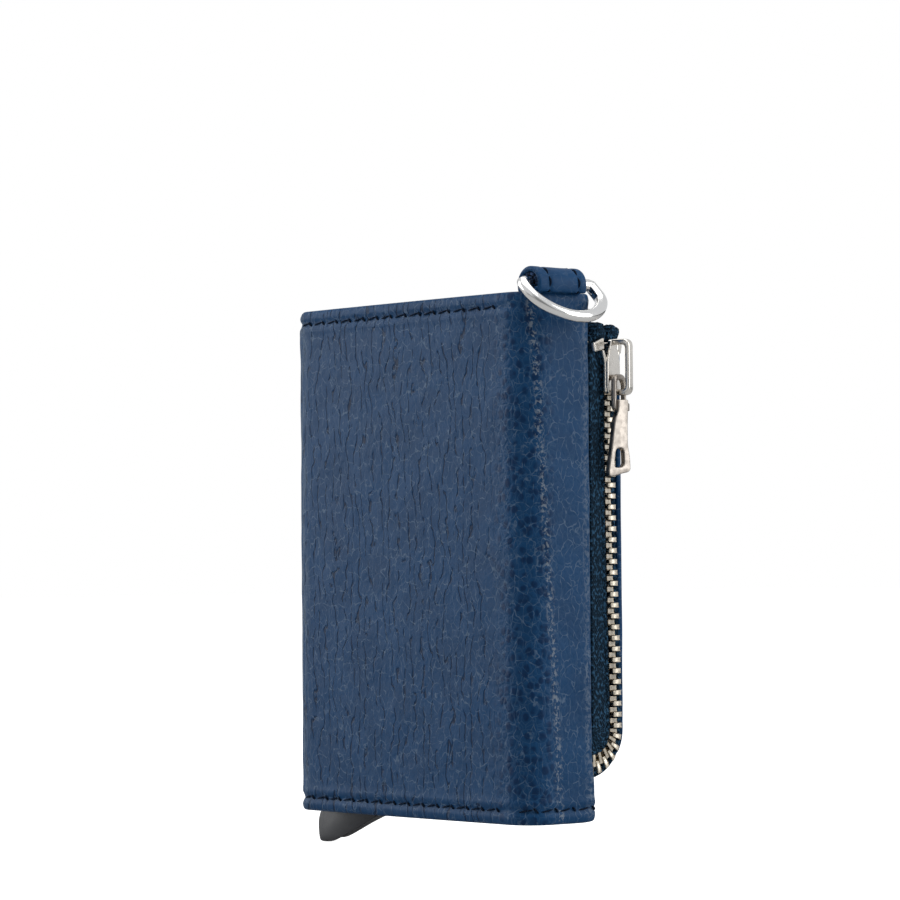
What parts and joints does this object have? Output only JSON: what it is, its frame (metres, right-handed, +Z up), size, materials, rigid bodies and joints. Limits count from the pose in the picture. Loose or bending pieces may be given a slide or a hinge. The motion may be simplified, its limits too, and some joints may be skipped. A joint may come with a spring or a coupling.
{
  "type": "card holder wallet",
  "caption": "Leather bifold wallet wrapped round a metal card case, with a thumb lever that lifts the cards, a zipped coin pocket and a hanging ring.",
  "frame": {"origin": "middle of the footprint, at the tip of the card lever below the covers", "axes": "+Z up along the wallet's long side, +X towards the spine, -Y out of the front cover"},
  "size_m": [0.0748, 0.0274, 0.1074],
  "materials": {
    "leather": "pebbled navy calf leather, soft sheen",
    "lining": "smooth navy lining",
    "thread": "dark navy thread",
    "case_metal": "satin anodised aluminium",
    "case_plastic": "dark grey moulded plastic",
    "pin_steel": "turned steel",
    "zip_tape": "woven dark teal tape",
    "zip_metal": "polished nickel",
    "chrome": "polished nickel plate"
  },
  "bodies": {
    "back": {"back_cover_leather": "leather", "back_cover_lining": "lining", "card_case_shell": "case_metal", "case_bottom_cap": "case_plastic", "lever_pin": "pin_steel", "coin_pocket_panel": "leather", "coin_pocket_lining": "lining", "pocket_stitching": "thread", "zip_tape_front": "zip_tape", "zip_tape_rear": "zip_tape", "zip_teeth_front": "zip_metal", "zip_teeth_rear": "zip_metal", "zip_tape_ends": "zip_tape"},
    "spine": {"spine_leather": "leather", "spine_lining": "lining", "spine_stitching": "thread", "tab_leather": "leather", "tab_lining": "lining", "tab_stitching": "thread"},
    "cover": {"front_cover_leather": "leather", "front_cover_lining": "lining", "front_slip_pocket": "leather", "front_stitching": "thread"},
    "ring": {"d_ring": "chrome"},
    "slider": {"slider_body": "zip_metal", "slider_bridge": "zip_metal"},
    "puller": {"zip_puller": "zip_metal"},
    "lever": {"card_lever": "case_plastic"}
  },
  "joints": [
    {"name": "spine_fold", "type": "hinge", "parent": "back", "child": "spine", "pos_m": [0.03127, 0.0006, 0.0544], "axis": [0, 0, 1], "range_deg": [0, 90]},
    {"name": "cover_fold", "type": "hinge", "parent": "spine", "child": "cover", "pos_m": [0.02562, -0.01215, 0.0544], "axis": [0, 0, 1], "range_deg": [0, 90]},
    {"name": "ring_swing", "type": "hinge", "parent": "spine", "child": "ring", "pos_m": [0.03072, -0.0043, 0.10405], "axis": [0, -1, 0], "range_deg": [0, 195]},
    {"name": "zip_slide", "type": "slide", "parent": "back", "child": "slider", "axis": [0, 0, -1], "range_m": [0, 0.061], "deforming": ["zip_teeth_front", "zip_teeth_rear"]},
    {"name": "puller_swing", "type": "hinge", "parent": "slider", "child": "puller", "pos_m": [0.03137, 0.01065, 0.08715], "axis": [0.309, -0.9511, 0], "range_deg": [0, 140]},
    {"name": "lever_push", "type": "hinge", "parent": "back", "child": "lever", "pos_m": [-0.02988, -0.00455, 0.0154], "axis": [0, -1, 0], "range_deg": [0, 20]}
  ]
}
